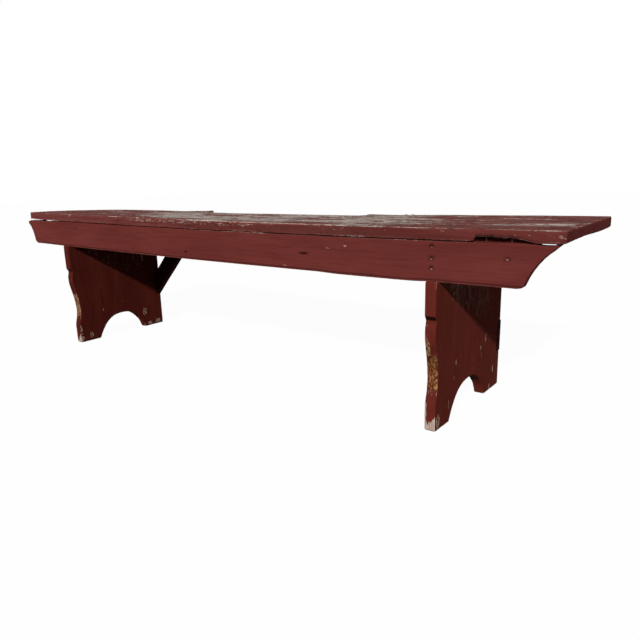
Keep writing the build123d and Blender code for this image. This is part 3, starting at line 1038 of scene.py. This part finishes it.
# %% Shape a brace
def shape_brace(node, inward, seed):
    """A brace's points and faces between its two sawn ends, and its surface values."""
    low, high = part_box(node)
    loop = outline(node, 1, 0)
    foot_x = low.x if inward > 0 else high.x
    foot_heights = loop[np.abs(loop[:, 0] - foot_x) < 1e-4][:, 2]
    top_run = np.ptp(loop[np.abs(loop[:, 2] - high.z) < 1e-4][:, 0])
    rise = np.ptp(foot_heights)
    slope = np.arctan2(rise, top_run)
    width = rise * cos(slope)
    along = np.array((cos(slope) * inward, 0, sin(slope)))
    up = np.array((-sin(slope) * inward, 0, cos(slope)))
    full = (high.z - low.z) / sin(slope)
    size = np.array((full, high.y - low.y, width))
    points, faces = block(lines(size[0], 0.006), lines(size[1], 0.004), lines(size[2], 0.0022))
    edge = arris_distance(points, size)
    share, height = points[:, 0] / size[0], points[:, 2].copy()
    radius = 0.0008 + 0.0022 * ripples(points, (0.06, 0.2, 0.2), seed) ** 2
    points = rounded(points, size, radius)
    moved = points[:, 0] - share * size[0]
    start = height * np.tan(slope)
    stop = full - height / np.tan(slope)
    run = start + (stop - start) * share + moved
    thick = points[:, 1:2] * np.array((0, 1, 0))
    origin = np.array((foot_x, low.y, low.z))
    grain = np.stack([run, points[:, 1], points[:, 2]], axis=1)
    points = origin + run[:, None] * along + points[:, 2:3] * up + thick
    faces = faces if inward > 0 else faces[:, ::-1]
    points = pressed(points, faces, uneven_face(grain, seed, 0.0004, 0.0005))
    arris = (1 - ease(edge, 0.0, 0.005)) * ripples(points, (0.04, 0.03, 0.04), seed + 3)
    wear = 0.06 + 0.5 * arris
    # painted shade: the whole brace is darkened as the shade under the seat, with rust round its nails
    stain = np.maximum(0.62, nail_stain(points, 0.008))
    none = 0 * wear
    values = {"wear": wear, "age": none + 0.8, "fade": none, "stain": stain, "pale": none}
    return points, faces, values


for side, inward, seed in (("left", 1, 161), ("right", -1, 181)):
    node, turn = f"{side}_brace", (0, brace_tilt * inward, 0)
    finish = board_finish(f"brace_red_{side}", turn, SHADED_RED, GREY_FOOT, GOLD, 8.0 + inward, 0.78)
    add_piece(f"brace_board_{side}", *shape_brace(node, inward, seed), node, finish)

# %% [markdown]
# ## Cut nails
# The nails were sheared from iron plate, so each is a tapered bar with a lumpy, roughly
# rectangular head. Most of a nail is hidden in the wood, but two shanks show in the
# chip below the seat. Each head is a small dome, a little different every time, and
# the nails in the seat follow the sag.


# %% The nails' two finishes
def nail_finish(name, worn, rust):
    """Rusted iron, with what is left of the paint brushed over it."""
    finish, shader, start = new_finish(name)
    space = grain_space(start, ALONG_X, 0.0)
    patches = stretched(space, (0.004, 0.004, 0.004), detail=4)
    pits = stretched(space, (0.0012, 0.0012, 0.0012), detail=3)
    colour = patches.step(0.40, 0.60).mix(worn, rust)
    colour = ((1 - pits.step(0.35, 0.5)) * 0.6).mix(colour, rgb(30, 18, 15))
    colour.into(shader, "Base Color")
    (0.55 + pits * 0.35).into(shader, "Roughness")
    bumped(pits + patches * 0.5, 0.6, 0.0004).into(shader, "Normal")
    return finish


painted_nail = nail_finish("painted_nail", rgb(166, 112, 106), rgb(128, 76, 70))
rusty_nail = nail_finish("rusty_nail", rgb(70, 44, 34), rgb(38, 24, 20))
print("nail finishes:", painted_nail.name, "and", rusty_nail.name)


# %% Model one nail
NAIL_CORNERS = 12
HEAD_HALF, SHANK_HALF, TIP_HALF = (0.0036, 0.0030), (0.0020, 0.0013), 0.0008     # half sizes
tip_room = 0.001        # a nail stops this far short of its solid's point


def nail_shape(length, seed):
    """Points and faces of a nail that points down from the origin."""
    jitter = np.random.default_rng(seed)
    corners = NAIL_CORNERS
    turn = np.arange(corners) * 2 * pi / corners + pi / corners
    square = np.stack([np.cos(turn), np.sin(turn)], axis=1)
    square = np.sign(square) * np.abs(square) ** 0.55
    lumps = 1 + 0.10 * (jitter.random(corners)[:, None] - 0.5)
    rings = []
    (head_x, head_y), (shank_x, shank_y) = HEAD_HALF, SHANK_HALF
    for depth, half in (
        (0.0001, (0.35 * head_x, 0.35 * head_y)), (0.0003, (0.8 * head_x, 0.8 * head_y)),
        (0.0008, HEAD_HALF), (0.0016, HEAD_HALF), (0.0021, SHANK_HALF),
        (0.5 * length, ((shank_x + TIP_HALF) / 2, shank_y)), (length, (TIP_HALF, 0.8 * shank_y)),
    ):
        flat = square * np.array(half) * (lumps if depth < 0.002 else 1)
        rings.append(np.column_stack([flat, np.full(corners, -depth)]))
    count = len(rings)
    points = np.concatenate(rings + [np.array([[0, 0, 0.0]]), np.array([[0, 0, -length]])])
    faces = []
    for above in range(0, (count - 1) * corners, corners):
        below = above + corners
        for i in range(corners):
            j = (i + 1) % corners
            faces.append((above + i, below + i, below + j, above + j))
    top, bottom = len(points) - 2, len(points) - 1
    faces += [(top, i, (i + 1) % corners) for i in range(corners)]
    last = (count - 1) * corners
    faces += [(bottom, last + (i + 1) % corners, last + i) for i in range(corners)]
    return points, faces


print("points in one nail:", len(nail_shape(0.05, 1)[0]))


# %% Drive the nails
HEAD_TURNS = {
    (2, 1): Euler((0, 0, 0)), (1, -1): Euler((pi / 2, 0, 0)), (1, 1): Euler((-pi / 2, 0, 0)),
}
head_depth, most_lean = 0.0003, 0.03


def add_nails(node, axis, side, finish):
    """One piece that holds all the nails of a CAD node."""
    length = max(np.ptp(island[:, axis]) for island in islands(node))
    all_points, all_faces = [], []
    for number, place in enumerate(nail_heads[node]):
        seed = 1000 + 31 * number + sum(map(ord, node))
        points, faces = nail_shape(length - tip_room, seed)
        lean = Euler(np.random.default_rng(seed).uniform(-most_lean, most_lean, 3).tolist())
        spin = HEAD_TURNS[axis, side].to_matrix() @ lean.to_matrix()
        points = points @ np.array(spin).T + np.array(place)
        points[:, axis] -= head_depth * side
        # a nail in the top is set as low as the wood there, and sinks with the boards
        if axis == 2:
            points[:, 2] -= back_wear(np.array([place]))
        if axis == 2 or node.startswith("apron"):
            points[:, 2] -= sag(np.array(place[:1]))
        base = sum(len(p) for p in all_points)
        all_points.append(points)
        all_faces += [tuple(base + i for i in face) for face in faces]
    add_piece("cut_" + node, np.concatenate(all_points), all_faces, {}, node, finish)


for node, (axis, side) in NAIL_GROUPS.items():
    add_nails(node, axis, side, painted_nail if node.startswith("apron") else rusty_nail)
print("nails:", sum(len(places) for places in nail_heads.values()))

# %% [markdown]
# ## Floor, light and camera
# The bench stands on a plain pale floor, under one high lamp from the front right with a
# soft sky all round. Seen by the camera, floor and sky are white, while their light on
# the bench stays modest, so the red keeps its depth and the shadows stay soft.


# %% The floor
def seen_share(start):
    """1 for rays that show the surroundings: from the camera, or by way of gloss or glass."""
    kinds = ("Is Camera Ray", "Is Glossy Ray", "Is Transmission Ray")
    camera, gloss, glass = (
        start.node("ShaderNodeLightPath", {}, {}, output=kind) for kind in kinds
    )
    return camera.larger(gloss).larger(glass)


floor_reach = 14.0


def pale_floor():
    """A floor that is white to look at but gives the bench only a modest light."""
    finish, shader, start = new_finish("pale_floor")
    start.tree.nodes.remove(shader)
    seen = seen_share(start)
    matt = start.node("ShaderNodeBsdfDiffuse", {}, {"Color": rgb(100, 98, 96)})
    glow = start.node("ShaderNodeEmission", {}, {"Color": (1, 1, 1, 1), "Strength": 1.345})
    both = start.node("ShaderNodeMixShader", {}, {0: seen * 0.72, 1: matt, 2: glow})
    both.into(start.tree.nodes["Material Output"], "Surface")
    mesh = bpy.data.meshes.new("floor")
    corners = [(floor_reach * x, floor_reach * y, 0) for x, y in ((-1, -1), (1, -1), (1, 1), (-1, 1))]
    mesh.from_pydata(corners, [], [(0, 1, 2, 3)])
    mesh.materials.append(finish)
    floor = add_object("floor", mesh)


pale_floor()
print("the floor is", 2 * floor_reach, "m wide")


# %% Sky and lamp
def soft_sky(sky_strength):
    """A sky that is white to look at and lights the bench with only sky_strength."""
    world = bpy.data.worlds.new("soft_sky")
    world.use_nodes = True
    background = world.node_tree.nodes["Background"]
    background.inputs["Color"].default_value = (1, 1, 1, 1)
    strength = sky_strength + seen_share(Wire(world.node_tree)) * (1 - sky_strength)
    strength.into(background, "Strength")
    bpy.context.scene.world = world


soft_sky(0.09)
to_lamp = Vector((0.37, -1.0, 0.63)).normalized()
lamp = bpy.data.lights.new("key_lamp", "SUN")
lamp.energy, lamp.angle = 3.36, radians(3)
add_object("key_lamp", lamp).rotation_euler = to_lamp.to_track_quat("Z", "Y").to_euler()
print("the lamp stands towards", [round(v, 3) for v in to_lamp])

# %% The camera
camera_place = Vector((1.19095, -1.28905, 0.5547))
camera_turn, camera_tilt, camera_roll = 0.6400, 0.24215, -0.0239
focal_pixels, image_pixels = 592.1, 640
camera = bpy.data.cameras.new("camera")
camera.sensor_width = 36
camera.lens = camera.sensor_width * focal_pixels / image_pixels
camera_object = add_object("camera", camera)
camera_object.matrix_world = (
    Matrix.Translation(camera_place)
    @ Matrix.Rotation(camera_turn, 4, "Z")
    @ Matrix.Rotation(pi / 2 - camera_tilt, 4, "X")
    @ Matrix.Rotation(camera_roll, 4, "Z")
)
bpy.context.scene.camera = camera_object
bpy.context.scene.view_settings.view_transform = "Standard"
print("camera axes:", [[round(v, 4) for v in row] for row in camera_object.matrix_world.to_3x3()])
